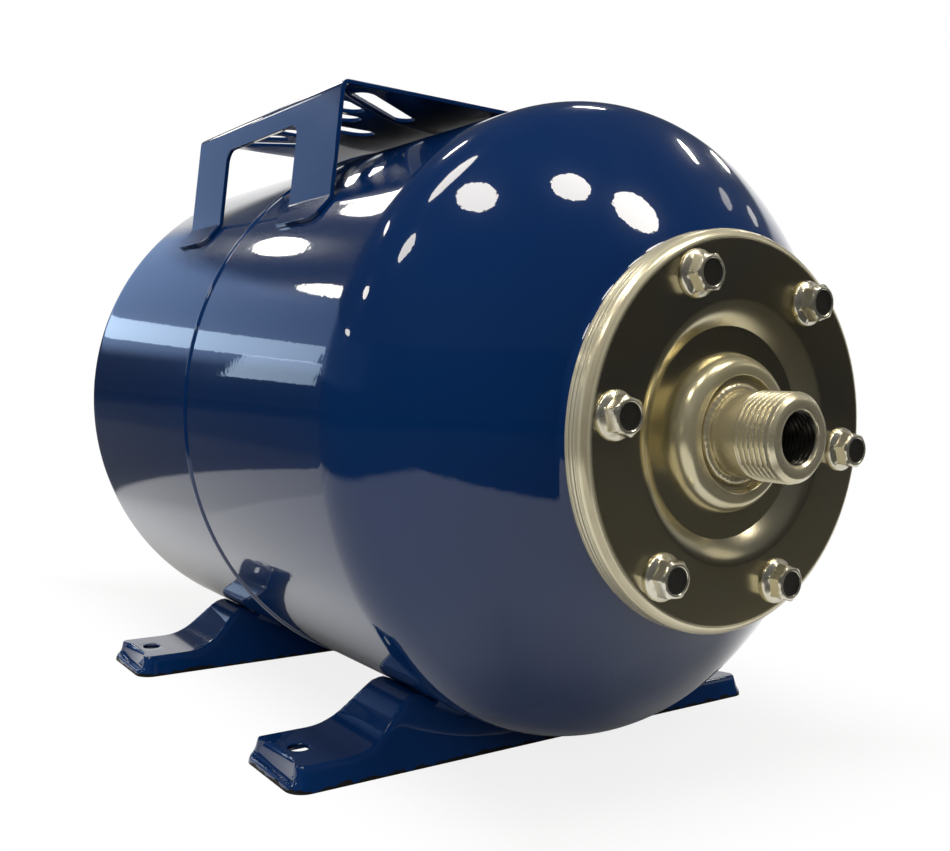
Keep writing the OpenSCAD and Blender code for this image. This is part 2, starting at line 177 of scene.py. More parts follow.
# small steps that every material and group below is made of
def addNode(tree, kind, settings=None, links=None, **values):
    node = tree.nodes.new(kind)
    for key, value in (settings or {}).items():
        setattr(node, key, value)
    for key, value in values.items():
        node.inputs[key.replace("_", " ")].default_value = value
    for key, source in (links or {}).items():
        tree.links.new(source, node.inputs[key])
    return node


def feed(tree, socket, value):
    # a number is set on the socket, and another node's output is linked to it
    if isinstance(value, (int, float)):
        socket.default_value = value
    else:
        tree.links.new(value, socket)


def mathNode(tree, operation, *values):
    node = addNode(tree, "ShaderNodeMath", {"operation": operation})
    for socket, value in zip(node.inputs, values):
        feed(tree, socket, value)
    return node.outputs[0]


def noiseNode(tree, place, scale, detail, **values):
    node = addNode(tree, "ShaderNodeTexNoise", links={"Vector": place}, Detail=detail, **values)
    feed(tree, node.inputs["Scale"], scale)
    return node.outputs["Fac"]


def rangeOf(tree, value, low, high, fromLow=0.0, fromHigh=1.0):
    node = addNode(tree, "ShaderNodeMapRange", links={"Value": value},
                   From_Min=fromLow, From_Max=fromHigh, To_Min=low, To_Max=high)
    return node.outputs[0]


def smoothMask(tree, value, low, high):
    mask = addNode(tree, "ShaderNodeMapRange", {"interpolation_type": "SMOOTHSTEP"},
                   {"Value": value}, From_Min=low, From_Max=high)
    return mask.outputs[0]


def mixColours(tree, mask, first, second):
    mixed = addNode(tree, "ShaderNodeMix", {"data_type": "RGBA"}, {0: mask})
    for slotNumber, value in ((6, first), (7, second)):
        if isinstance(value, tuple):
            mixed.inputs[slotNumber].default_value = (*value, 1)
        else:
            tree.links.new(value, mixed.inputs[slotNumber])
    return mixed.outputs[2]


def objectPlace(tree):
    return addNode(tree, "ShaderNodeTexCoord").outputs["Object"]


def splitUp(tree, vector):
    return addNode(tree, "ShaderNodeSeparateXYZ", links={0: vector}).outputs


def addBump(tree, shader, height, strength, distance):
    bump = addNode(tree, "ShaderNodeBump", links={"Height": height}, Strength=strength, Distance=distance)
    tree.links.new(bump.outputs[0], shader.inputs["Normal"])
    return bump.outputs[0]


floatKind, colourKind = "NodeSocketFloat", "NodeSocketColor"


def newGroup(name, inputs, outputs):
    # inputs are label, kind and value, outputs are label and kind
    group = bpy.data.node_groups.new(name, "ShaderNodeTree")
    for label, kind, value in inputs:
        socket = group.interface.new_socket(name=label, in_out="INPUT", socket_type=kind)
        socket.default_value = value
    for label, kind in outputs:
        group.interface.new_socket(name=label, in_out="OUTPUT", socket_type=kind)
    start = group.nodes.new("NodeGroupInput")
    end = group.nodes.new("NodeGroupOutput")
    return group, start.outputs, end.inputs


def buildOrangePeel():
    # the slow waves and the fine skin of sprayed enamel
    group, start, end = newGroup("orangePeel", [
        ("WaveScale", floatKind, 9.0), ("PeelScale", floatKind, 420.0),
        ("PeelAmount", floatKind, 0.15)], [("Height", floatKind)])
    place = objectPlace(group)
    wave = noiseNode(group, place, start["WaveScale"], 2.0)
    peel = noiseNode(group, place, start["PeelScale"], 1.5)
    skin = mathNode(group, "MULTIPLY", peel, start["PeelAmount"])
    group.links.new(mathNode(group, "ADD", wave, skin), end["Height"])
    return group


def buildSettledDust():
    # thin dust on faces that look up, in loose patches
    group, start, end = newGroup("settledDust", [
        ("Scale", floatKind, 30.0), ("Amount", floatKind, 0.3)], [("Mask", floatKind)])
    surface = addNode(group, "ShaderNodeNewGeometry")
    upward = rangeOf(group, splitUp(group, surface.outputs["Normal"])["Z"], 0, 1, 0.25, 1.0)
    patch = noiseNode(group, objectPlace(group), start["Scale"], 6.0)
    both = mathNode(group, "MULTIPLY", upward, rangeOf(group, patch, 0, 1, 0.42, 0.75))
    group.links.new(mathNode(group, "MULTIPLY", both, start["Amount"]), end["Mask"])
    return group


def buildPlateTint():
    # the cloudy yellow and grey of passivated zinc
    group, start, end = newGroup("plateTint", [
        ("Pale", colourKind, (0.8, 0.78, 0.7, 1)), ("Warm", colourKind, (0.7, 0.62, 0.4, 1)),
        ("Scale", floatKind, 14.0), ("Contrast", floatKind, 0.6)],
        [("Color", colourKind), ("Mask", floatKind)])
    cloud = noiseNode(group, objectPlace(group), start["Scale"], 5.0, Distortion=0.6)
    level = rangeOf(group, cloud, 0, 1, 0.3, 0.7)
    share = mathNode(group, "MULTIPLY", level, start["Contrast"])
    group.links.new(mixColours(group, share, start["Pale"], start["Warm"]), end["Color"])
    group.links.new(level, end["Mask"])
    return group


def buildFineScratches():
    # short handling marks in two crossing directions
    group, start, end = newGroup("fineScratches", [
        ("Scale", floatKind, 60.0), ("Stretch", floatKind, 14.0)], [("Mask", floatKind)])
    place = objectPlace(group)
    marks = []
    for turn in (0.4, 1.9):
        longer = addNode(group, "ShaderNodeCombineXYZ", links={0: start["Stretch"]}, Y=1.0, Z=1.0)
        spun = addNode(group, "ShaderNodeMapping", links={"Vector": place, "Scale": longer.outputs[0]})
        spun.inputs["Rotation"].default_value = (turn, turn * 0.7, turn * 1.3)
        grain = noiseNode(group, spun.outputs[0], start["Scale"], 2.0)
        marks.append(rangeOf(group, grain, 0, 1, 0.62, 0.72))
    group.links.new(mathNode(group, "MAXIMUM", *marks), end["Mask"])
    return group


groups = {"peel": buildOrangePeel(), "dust": buildSettledDust(),
          "tint": buildPlateTint(), "scratch": buildFineScratches()}


def placeGroup(tree, group, **values):
    node = tree.nodes.new("ShaderNodeGroup")
    node.node_tree = groups[group]
    for key, value in values.items():
        node.inputs[key].default_value = value
    return node.outputs


def newMaterial(name, **values):
    material = bpy.data.materials.new(name)
    material.use_nodes = True
    tree = material.node_tree
    shader = tree.nodes["Principled BSDF"]
    for key, value in values.items():
        shader.inputs[key.replace("_", " ")].default_value = value
    return material, tree, shader


paintLook = {
    "deep": (0.0011, 0.0160, 0.074),
    "lighter": (0.0018, 0.0240, 0.100),
    "dust": (0.16, 0.18, 0.22),
    "dustScale": 45.0,
    # darker colour along the bottom edge of the feet
    "darkBottomEdge": (0.012, 0.011, 0.010),
    "darkBottomReach": (0.0004, 0.0022),   # lowest and highest end of the dark bottom edge above the floor
    "coat": 1.0,
    "darkBottomCoat": 0.1,
    "underGloss": 0.02,
    "waveScale": 7.0,
    "cleanRough": 0.2,
    "dustyRough": 0.5,
}


def buildTankPaint(name, waveBump, dustAmount, peelAmount, darkBottomEdge=False):
    material, tree, shader = newMaterial(
        name, Roughness=paintLook["cleanRough"], Coat_Roughness=0.02, Coat_Weight=paintLook["coat"],
        Specular_IOR_Level=paintLook["underGloss"])
    peel = placeGroup(tree, "peel", WaveScale=paintLook["waveScale"], PeelAmount=peelAmount)
    dust = placeGroup(tree, "dust", Scale=paintLook["dustScale"], Amount=dustAmount)["Mask"]
    place = objectPlace(tree)
    drift = rangeOf(tree, noiseNode(tree, place, 5.0, 3.0), 0, 1, 0.3, 0.7)
    body = mixColours(tree, drift, paintLook["deep"], paintLook["lighter"])
    body = mixColours(tree, dust, body, paintLook["dust"])
    rough = rangeOf(tree, dust, paintLook["cleanRough"], paintLook["dustyRough"])
    if darkBottomEdge:
        # the paint is darker and less glossy along the edge that stands on the floor, up to a ragged height
        ragged = noiseNode(tree, place, 160.0, 3.0)
        reach = rangeOf(tree, ragged, *paintLook["darkBottomReach"], 0.35, 0.65)
        below = mathNode(tree, "LESS_THAN", splitUp(tree, place)["Z"], reach)
        body = mixColours(tree, below, body, paintLook["darkBottomEdge"])
        coat = rangeOf(tree, below, paintLook["coat"], paintLook["darkBottomCoat"])
        tree.links.new(coat, shader.inputs["Coat Weight"])
    tree.links.new(body, shader.inputs["Base Color"])
    tree.links.new(rough, shader.inputs["Roughness"])
    bump = addBump(tree, shader, peel["Height"], 1.0, waveBump)
    tree.links.new(bump, shader.inputs["Coat Normal"])
    return material


# radii are measured from the tank's axis
plateLook = {
    "flange": ((0.66, 0.61, 0.45, 1), (0.54, 0.47, 0.26, 1)),   # pale and warm parts of the clouds
    "stub": ((0.72, 0.66, 0.48, 1), (0.62, 0.55, 0.35, 1)),
    "bolt": ((0.70, 0.67, 0.56, 1), (0.6, 0.55, 0.40, 1)),
    # painted highlight of the rolled rim, and the darker painted reflection bands across it
    "rimPaintedHighlight": (0.74, 0.68, 0.48),
    "rimPaintedDarkBand": (0.33, 0.28, 0.18),
    "rimRadius": (0.0722, 0.0738),
    "rimMatt": 0.5,
    "ringScale": 620.0,
    "ringDepth": 0.00016,
    "bossMatt": 0.3,
    "bossRadius": (0.0298, 0.031),
    "wallMatt": 0.05,
    "wallInner": (0.0402, 0.0414),
    "wallOuter": (0.046, 0.051),
    "scratchRough": 0.012,
    # painted shade inside the water connection's bore
    "boreShadeColour": (0.03, 0.028, 0.022),
    "boreRadius": 0.0125,
    "boreFrom": tank["faceY"] - 0.0279,
    "boreBlend": 0.0006,
}


def axisRadius(tree, place):
    # distance from the tank's axis
    fromAxis = addNode(tree, "ShaderNodeVectorMath", {"operation": "SUBTRACT"}, {0: place})
    fromAxis.inputs[1].default_value = (0, 0, tank["axisHeight"])
    across = addNode(tree, "ShaderNodeVectorMath", {"operation": "MULTIPLY"}, {0: fromAxis.outputs[0]})
    across.inputs[1].default_value = (1, 0, 1)
    length = addNode(tree, "ShaderNodeVectorMath", {"operation": "LENGTH"}, {0: across.outputs[0]})
    return length.outputs["Value"]


def addRolledRim(tree, shader, colour, bump):
    # the rolled rim is painted pale and partly matt as a painted highlight, with darker painted reflection bands,
    # faint rings from the rolling, and boss and dish are a little matt
    place = objectPlace(tree)
    radius = axisRadius(tree, place)
    onRim = rangeOf(tree, radius, 0, 1, *plateLook["rimRadius"])
    onBoss = rangeOf(tree, radius, plateLook["bossMatt"], 0, *plateLook["bossRadius"])
    onWall = mathNode(tree, "MULTIPLY", rangeOf(tree, radius, 0, plateLook["wallMatt"], *plateLook["wallInner"]),
                      rangeOf(tree, radius, 1, 0, *plateLook["wallOuter"]))
    matt = mathNode(tree, "ADD", mathNode(tree, "ADD", onBoss, onWall),
                    rangeOf(tree, onRim, 0, plateLook["rimMatt"]))
    tree.links.new(rangeOf(tree, matt, 1, 0), shader.inputs["Metallic"])
    roundRim = mathNode(tree, "SUBTRACT", radius, splitUp(tree, place)["Y"])
    wave = addNode(tree, "ShaderNodeTexNoise", {"noise_dimensions": "1D"}, {"W": roundRim},
                   Scale=plateLook["ringScale"], Detail=2.0).outputs["Fac"]
    rings = mathNode(tree, "MULTIPLY", rangeOf(tree, wave, 0, 1, 0.4, 0.6), onRim)
    # darker painted reflection bands round the rim, stronger in patches
    bandPatches = noiseNode(tree, place, 14.0, 4.0)
    band = mathNode(tree, "MULTIPLY", rangeOf(tree, wave, 1.0, 0.0, 0.36, 0.5),
                    rangeOf(tree, bandPatches, 0.15, 0.95, 0.35, 0.65))
    ringBump = addNode(tree, "ShaderNodeBump", links={"Height": rings, "Normal": bump},
                       Strength=0.8, Distance=plateLook["ringDepth"])
    tree.links.new(ringBump.outputs[0], shader.inputs["Normal"])
    rimPaintedHighlight = mixColours(tree, band, plateLook["rimPaintedHighlight"], plateLook["rimPaintedDarkBand"])
    return mixColours(tree, onRim, colour, rimPaintedHighlight)


def addPaintedBoreShade(tree, colour):
    # the bore is painted dark, as painted shade inside the pipe
    place = objectPlace(tree)
    blend, radius, start = (plateLook[k] for k in ("boreBlend", "boreRadius", "boreFrom"))
    outside = rangeOf(tree, axisRadius(tree, place), 0, 1, radius, radius + blend)
    atMouth = rangeOf(tree, splitUp(tree, place)["Y"], 1, 0, start, start + blend)
    edge = mathNode(tree, "MAXIMUM", outside, atMouth)
    return mixColours(tree, edge, plateLook["boreShadeColour"], colour)


def buildZincPlate(name, colours, roughLow, roughHigh, bumpHeight=0.00002, tintScale=16.0,
                   metallic=1.0, rim=False, bore=False):
    material, tree, shader = newMaterial(name, Metallic=metallic, Roughness=0.3)
    tint = placeGroup(tree, "tint", Pale=colours[0], Warm=colours[1], Scale=tintScale, Contrast=0.8)
    scratch = placeGroup(tree, "scratch", Scale=90.0, Stretch=12.0)["Mask"]
    rough = mathNode(tree, "MULTIPLY_ADD", scratch, plateLook["scratchRough"],
                     rangeOf(tree, tint["Mask"], roughLow, roughHigh))
    tree.links.new(rough, shader.inputs["Roughness"])
    bump = addBump(tree, shader, scratch, 0.1, bumpHeight)
    colour = tint["Color"]
    if rim:
        colour = addRolledRim(tree, shader, colour, bump)
    if bore:
        colour = addPaintedBoreShade(tree, colour)
    tree.links.new(colour, shader.inputs["Base Color"])
    return material


def buildGrainFinish(name, first, second, scale, roughLow, roughHigh, metallic, bumpHeight, detail=4.0):
    # two close colours in a fine grain, rougher where the grain is high
    material, tree, shader = newMaterial(name, Metallic=metallic, Roughness=roughLow)
    grain = noiseNode(tree, objectPlace(tree), scale, detail)
    tree.links.new(mixColours(tree, grain, first, second), shader.inputs["Base Color"])
    tree.links.new(rangeOf(tree, grain, roughLow, roughHigh), shader.inputs["Roughness"])
    addBump(tree, shader, grain, 0.4, bumpHeight)
    return material


tankPaint = buildTankPaint("tankPaint", 0.00012, 0.02, 0.1)
pressedPaint = buildTankPaint("pressedPaint", 0.00016, 0.03, 0.04)
footPaint = buildTankPaint("footPaint", 0.00012, 0.03, 0.04, darkBottomEdge=True)
zincPlate = buildZincPlate("zincPlate", plateLook["flange"], 0.17, 0.25, bumpHeight=0.000002, rim=True)
stubZinc = buildZincPlate("stubZinc", plateLook["stub"], 0.22, 0.34, metallic=0.8, bore=True)
boltZinc = buildZincPlate("boltZinc", plateLook["bolt"], 0.2, 0.32, tintScale=60.0, metallic=0.9)
# the dished top of a bolt head, painted dark
boltTopDark = buildGrainFinish("boltTopDark", (0.008, 0.008, 0.008), (0.05, 0.048, 0.04), 900.0,
                               0.35, 0.6, 0.6, 0.00008, 3.0)
plainSteel = buildGrainFinish("plainSteel", (0.32, 0.32, 0.33), (0.5, 0.5, 0.5), 120.0, 0.3, 0.5, 1.0, 0.00003)
turnedBrass = buildGrainFinish("turnedBrass", (0.55, 0.38, 0.13), (0.7, 0.52, 0.22), 200.0,
                               0.2, 0.38, 1.0, 0.00002)
bagRubber = buildGrainFinish("bagRubber", (0.01, 0.01, 0.01), (0.03, 0.03, 0.03), 300.0, 0.55, 0.8, 0.0, 0.0001)
capPlastic = buildGrainFinish("capPlastic", (0.012, 0.012, 0.013), (0.02, 0.02, 0.022), 500.0,
                              0.35, 0.5, 0.0, 0.00004)
print("materials built")

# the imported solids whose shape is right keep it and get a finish
for nodeName, material in {
        "seam_weld": tankPaint, "front_foot_welds": pressedPaint, "rear_foot_welds": pressedPaint,
        "neck_ring": plainSteel, "bladder": bagRubber, "valve_seal": bagRubber,
        "valve_washer": plainSteel, "valve_stem": turnedBrass, "valve_nut": turnedBrass,
        "valve_core": turnedBrass, "valve_cap": capPlastic}.items():
    mesh = nodes[nodeName].data
    mesh.materials.clear()
    mesh.materials.append(material)

# the two shells, turned finely so that the gloss runs clean
neck = {"face": 5.0, "radius": 72.0, "mouth": 48.0, "corner": 1.4, "fillet": 5.0, "headFrom": 76.5}
shell = {"segments": 256, "frontSteps": 40, "rearSteps": 60, "kneeSteps": 24, "straightSteps": 12,
         "valveHole": 5.7, "valveFlat": 11, "edge": 0.4, "bodyEnd": 2.4, "lapPlay": 0.1,
         "lapStart": 2.0, "lapEnd": 12}


def crownY(radius):
    # distance behind the flange face of a point on the front crown
    return frontTangent + crownBack - math.sqrt(tank["crownRadius"] ** 2 - radius ** 2)


def headArc(first, steps):
    # points of a head's outside from a radius to the tangent, seen with its apex at the front
    knee = kneeCentre + tank["knuckleRadius"] * math.sin(kneeAngle)
    points = []
    for k in range(steps + 1):
        radius = first + (tank["radius"] - first) * k / steps
        if radius <= knee:
            points.append((radius, crownBack - math.sqrt(tank["crownRadius"] ** 2 - radius ** 2)))
    startTurn = -(90 - math.degrees(kneeAngle))
    for k in range(1, shell["kneeSteps"] + 1):
        turn = math.radians(startTurn * (1 - k / shell["kneeSteps"]))
        points.append((kneeCentre + tank["knuckleRadius"] * math.cos(turn), tank["knuckleRadius"] * math.sin(turn)))
    return points


seamY = frontTangent + tank["frontStraight"]
lapY = seamY + shell["lapStart"] * mm
straight = shell["straightSteps"]


def buildFrontShell():
    mouth = (neck["mouth"] * mm, neck["face"] * mm)
    corner = (neck["radius"] * mm, neck["face"] * mm)
    foot = (neck["radius"] * mm, crownY(neck["radius"] * mm))
    headFrom = (neck["headFrom"] * mm, crownY(neck["headFrom"] * mm))
    path = [mouth] + roundCorner(mouth, corner, foot, neck["corner"] * mm)
    path += roundCorner(corner, foot, headFrom, neck["fillet"] * mm, 8)
    path += [(r, frontTangent + y) for r, y in headArc(headFrom[0], shell["frontSteps"])]
    path += [(tank["radius"], frontTangent + (seamY - frontTangent) * k / straight) for k in range(1, straight)]
    path += [(tank["radius"], seamY - 0.5 * mm), (tank["radius"] - shell["edge"] * mm, seamY)]
    turnedPiece("frontShell", sheetLoop(path[::-1], tank["sheet"]), tankPaint,
                ["front_shell"], shell["segments"])


def buildRearShell():
    flat = shell["valveFlat"] * mm
    flatY = rearTangent + headDepth - (tank["crownRadius"] - math.sqrt(tank["crownRadius"] ** 2 - flat ** 2))
    path = [(r, min(rearTangent - y, flatY)) for r, y in headArc(shell["valveHole"] * mm, shell["rearSteps"])]
    bodyEnd = seamY + shell["bodyEnd"] * mm
    path += [(tank["radius"], rearTangent + (bodyEnd - rearTangent) * k / straight) for k in range(1, straight + 1)]
    joggle = tank["radius"] - tank["sheet"] - shell["lapPlay"] * mm
    path += [(tank["radius"] - shell["edge"] * mm, lapY), (joggle, lapY), (joggle, seamY - shell["lapEnd"] * mm)]
    turnedPiece("rearShell", sheetLoop(path, tank["sheet"]), tankPaint,
                ["rear_shell"], shell["segments"])


buildFrontShell()
buildRearShell()
print("shells turned")

flange = {"thickness": 2.0, "rimDepth": 9.7, "lip": 4.4, "dishRadius": 51.0, "dishRun": 10.6, "dishDepth": 5.5,
          "bossRadius": 30.3, "bossRise": 8.1, "bossShoulder": 5.9, "cup": 3.8, "cupWall": 3,
          "cupTop": 2.4, "cupRound": 0.9, "segments": 224}
stub = {"neckRadius": 16.225, "crest": 16.6, "pitch": 2.309, "depth": 1.35, "threadEnd": 17.4, "runOut": 1.8,
        "chamfer": 2.3, "length": 28.6, "bore": 9.3, "boreSlack": 0.05, "innerPitch": 1.814, "innerEnd": 17,
        "innerRunOut": 2.5, "innerChamfer": 1.3, "segments": 144, "smooth": 50}
crestRadius = flange["bossRadius"] - flange["bossShoulder"]
crestY = flange["dishDepth"] - flange["bossRise"]
cupY = crestY + flange["cup"]


def buildFlange():
    outer, lip, shoulder = tank["flangeRadius"] / mm, flange["lip"], flange["bossShoulder"]
    path = [(outer, flange["rimDepth"])] + arcPoints((outer - lip, lip), lip, 0, -90, 14)
    path += [(flange["dishRadius"] - s / 16 * flange["dishRun"],
              flange["dishDepth"] * (1 - math.cos(math.pi / 2 * s / 16))) for s in range(17)]
    path += [(crestRadius + shoulder * math.cos(a), flange["dishDepth"] - flange["bossRise"] * math.sin(a))
             for a in [math.pi / 2 * k / 14 for k in range(15)]]
    cupEdge = (crestRadius - flange["cupWall"], cupY)
    path += roundCorner((crestRadius, crestY), (crestRadius - flange["cupTop"], crestY), cupEdge, flange["cupRound"])
    path += [cupEdge, (stub["neckRadius"] + 0.1, cupY)]
    path = [(r * mm, y * mm) for r, y in path]
    turnedPiece("endFlange", sheetLoop(path, flange["thickness"] * mm), zincPlate,
                ["end_flange"], flange["segments"], 28)


# water connection: helical threads outside and in the bore
def threadDepth(along, turn, pitch):
    # 0 at the crest and 1 at the root of a rounded 55 degree thread
    phase = (along / pitch - turn / (2 * math.pi)) % 1.0
    wave = abs(2 * phase - 1)
    return min(max((wave - 0.12) / 0.76, 0), 1)


def outerRadius(y, turn):
    mouth = stub["crest"] - stub["chamfer"] + (y + stub["length"])
    end = stub["threadEnd"] - stub["length"]
    fade = 1 if y < end - stub["runOut"] else max(0, (end - y) / stub["runOut"])
    radius = stub["crest"] - stub["depth"] * fade * threadDepth(y, turn, stub["pitch"])
    if y > end - 0.8:
        radius = min(radius, stub["neckRadius"])
    return min(radius, mouth)


def innerRadius(y, turn):
    mouth = stub["bore"] + stub["innerChamfer"] - (y + stub["length"])
    end, run = -stub["length"] + stub["innerEnd"], stub["innerRunOut"]
    fade = 1 if y < end - run else max(0, (end - y) / run)
    radius = stub["bore"] + stub["boreSlack"] + fade * (1 - threadDepth(y, turn, stub["innerPitch"]))
    return max(radius, mouth) if y < -stub["length"] + 2.2 else radius


def alongStub(fine, fineEnd, coarse):
    # places along the pipe, close together in the thread
    places, along = [], -stub["length"]
    while along < cupY + 3.3:
        places.append(along)
        along += fine if along < fineEnd else coarse
    return places + [cupY + 3.5]


def buildStub():
    outer = alongStub(0.165, stub["threadEnd"] - stub["length"] + 1.5, 1.5)
    inner = alongStub(0.22, -stub["length"] + stub["innerEnd"], 2.5)
    verts = []
    for s in range(stub["segments"]):
        turn = 2 * math.pi * s / stub["segments"]
        verts += [onAxis(outerRadius(y, turn) * mm, y * mm, turn) for y in outer]
        verts += [onAxis(innerRadius(y, turn) * mm, y * mm, turn) for y in inner[::-1]]
    faces = ringFaces(stub["segments"], len(outer) + len(inner))
    piece = newPiece("waterConnection", verts, faces, stubZinc, stub["smooth"], ["inlet_stub"])
    faceOutwards(piece, stub["smooth"])


weld = {"ripples": 46, "height": 0.35, "radius": 2.3, "out": 0.9, "under": 0.5, "root": 0.3,
        "foot": 3.2, "segments": 256}


def stubWeldRipple(radius, along, turn, index):
    # overlapping puddles of a hand made bead, and a coarser unevenness
    wave = abs(math.sin(turn * weld["ripples"] / 2))
    rough = noise.noise(Vector((math.cos(turn) * 3, math.sin(turn) * 3, index * 0.35)))
    lift = (wave * 0.45 + rough * 0.7) * weld["height"] * mm
    if along < (cupY - 0.3) * mm:
        along += lift - 0.2 * mm
        radius += rough * 0.35 * mm
    return radius, along


def buildStubWeld():
    pipe = stub["neckRadius"]
    loop = arcPoints(((pipe + weld["out"]) * mm, (cupY - weld["under"]) * mm), weld["radius"] * mm, 0, -180, 12)
    loop = [(max(r, pipe * mm - weld["root"] * mm), y) for r, y in loop]
    loop += [((pipe - weld["root"]) * mm, cupY * mm), ((pipe + weld["foot"]) * mm, cupY * mm)]
    turnedPiece("stubWeldBead", loop, stubZinc, ["stub_weld"], weld["segments"], 60, stubWeldRipple)


buildFlange()
buildStub()
buildStubWeld()
print("flange and water connection turned")

bolt = {"count": 6, "circle": 63.0, "turn": 6.4, "flats": 13.0, "segments": 72, "seed": 4, "darkRings": 3}
boltCorner = bolt["flats"] / 2 / math.cos(math.pi / 6)
# radius, height and kind of each ring, from the middle of the dished top down to the end of the shank
boltRings = [
    (0.0, 7.45, "round"), (3.6, 7.45, "round"), (4.6, 7.5, "round"), (4.95, 7.75, "round"),
    (5.2, 7.97, "round"), (5.5, 8.0, "round"), (5.9, 7.88, "round"), (6.3, 7.6, "hex"), (7.2, 6.95, "hex"),
    (boltCorner, 6.1, "hex"), (boltCorner, 3.1, "hex"), (boltCorner - 0.1, 2.7, "hex"), (7.35, 2.2, "round"),
    (8.3, 1.55, "round"), (8.7, 1.2, "round"), (8.84, 0.8, "round"), (8.84, 0.35, "round"),
    (8.6, 0.0, "round"), (4.0, 0.0, "round"), (4.0, -15.3, "round"), (3.3, -16.0, "round"), (0.0, -16.0, "round")]


def boltRadius(turn, limit, kind):
    if kind == "round":
        return limit
    local = (turn + math.pi / 6) % (math.pi / 3) - math.pi / 6
    return min(bolt["flats"] / 2 / math.cos(local), limit)


def buildBolt(number):
    shape = bmesh.new()
    segments = bolt["segments"]
    loops = []
    for radius, height, kind in boltRings:
        if radius == 0:
            loops.append([shape.verts.new((0, 0, height * mm))])
            continue
        ring = []
        for s in range(segments):
            turn = 2 * math.pi * s / segments
            r = boltRadius(turn, radius, kind)
            ring.append(shape.verts.new((r * math.cos(turn) * mm, r * math.sin(turn) * mm, height * mm)))
        loops.append(ring)
    for k, (a, b) in enumerate(zip(loops, loops[1:])):
        for s in range(segments):
            t = (s + 1) % segments
            if len(a) == 1:
                face = shape.faces.new((a[0], b[s], b[t]))
            elif len(b) == 1:
                face = shape.faces.new((a[s], b[0], a[t]))
            else:
                face = shape.faces.new((a[s], b[s], b[t], a[t]))
            face.material_index = 1 if k < bolt["darkRings"] else 0
            face.smooth = True
    bmesh.ops.recalc_face_normals(shape, faces=shape.faces)
    mesh = bpy.data.meshes.new("flangeBolt")
    shape.to_mesh(mesh)
    shape.free()
    mesh.set_sharp_from_angle(angle=math.radians(32))
    mesh.materials.append(boltZinc)
    mesh.materials.append(boltTopDark)
    angle = math.radians(180 - bolt["turn"] - number * 360 / bolt["count"])
    seat = Matrix.Translation(onAxis(bolt["circle"] * mm, 0, angle))
    spin = random.Random(bolt["seed"] + number).uniform(0, 60)
    mesh.transform(seat @ Matrix.Rotation(math.radians(90), 4, "X") @ Matrix.Rotation(math.radians(spin), 4, "Z"))
    linkPiece("flangeBolt." + str(number + 1), mesh, ["flange_bolts"])


for number in range(bolt["count"]):
    buildBolt(number)
print("bolts set")

# feet: one pressing each, its height drawn over rings that run round it
foot = {"length": 262.0, "width": 49.4, "pad": 10.0, "sheet": 2.0, "corner": 8.0, "draft": 0.3, "pitch": 184.0,
        "holePitch": 234.0, "hole": 9.0, "riseStart": 103.5, "hollowBend": 25.0, "slope": 43.0, "crestBend": 9.0,
        "crest": 67.5, "lip": 3.0, "lipHeight": 3.0, "lipRound": 1.2, "endSlope": 3.2, "topBend": 4.6,
        "gap": 0.15, "endPace": 0.5, "column": 2.4, "cornerSteps": 10, "rows": 6, "smooth": 50}
# how far in from the foot's outline each ring lies
footInsets = [0.0, 0.25, 0.5, 0.8, 1.2, 1.6, 2.0, 2.5, 3.0, 3.5, 4.0, 4.6, 5.2, 5.9, 6.6, 7.4, 8.2, 9.1,
              10.2, 11.5, 13.2, 15.0]
axisUp, saddle = tank["axisHeight"] / mm, tank["radius"] / mm


def footRise():
    # the pad's top edge up to the crest, as a list of x and height from the end inwards
    crestZ = axisUp - math.sqrt(saddle ** 2 - foot["crest"] ** 2)
    slope = math.radians(foot["slope"])
    bends = (foot["hollowBend"] + foot["crestBend"]) * (1 - math.cos(slope))
    run = (crestZ - foot["pad"] - bends) / math.sin(slope)
    line = [(foot["length"] / 2, foot["pad"])]
    hollow = (foot["riseStart"], foot["pad"] + foot["hollowBend"])
    line += arcPoints(hollow, foot["hollowBend"], -90, -90 - foot["slope"], 16)
    head = (line[-1][0] - run * math.cos(slope), line[-1][1] + run * math.sin(slope))
    centre = (head[0] - foot["crestBend"] * math.sin(slope), head[1] - foot["crestBend"] * math.cos(slope))
    return line + arcPoints(centre, foot["crestBend"], 90 - foot["slope"], 90, 10) + [(0.0, crestZ)]


def softMin(a, b, blend):
    share = max(blend - abs(a - b), 0) / blend
    return min(a, b) - share * share * blend / 4


def footTop(x, line):
    x = abs(x)
    top = line[-1][1]
    for (x1, z1), (x0, z0) in zip(line, line[1:]):
        if x0 <= x <= x1:
            top = z0 + (z1 - z0) * (x - x0) / max(x1 - x0, 1e-6)
            break
    return min(top, axisUp - math.sqrt(saddle ** 2 - x * x) - foot["gap"]) if x < saddle else top


def footWall(inset, endShare):
    # height of the wall at a distance in from the outline: leaning along the sides, lipped at the ends
    side = inset / foot["draft"]
    lip = foot["lipHeight"] * math.sqrt(max(1 - (1 - min(inset / foot["lipRound"], 1)) ** 2, 0))
    end = lip if inset < foot["lip"] else foot["lipHeight"] + (inset - foot["lip"]) * foot["endSlope"]
    blend = max(min((inset - foot["lip"] + foot["lipRound"]) / (2 * foot["lipRound"]), 1), 0)
    end = lip + (end - lip) * blend if inset < foot["lip"] + foot["lipRound"] else end
    return side + (end - side) * endShare


def footColumns():
    # x of the columns across the foot, closer together round the holes
    hole = foot["holePitch"] / 2
    nearHole = [hole + d for d in (-6, -4, -2, 0, 2, 4, 6)]
    between = [k * foot["column"] for k in range(int((hole - 7.2) / foot["column"]) + 1)]
    half = sorted({round(v, 3) for v in nearHole + between})
    return [-v for v in half[:0:-1]] + half


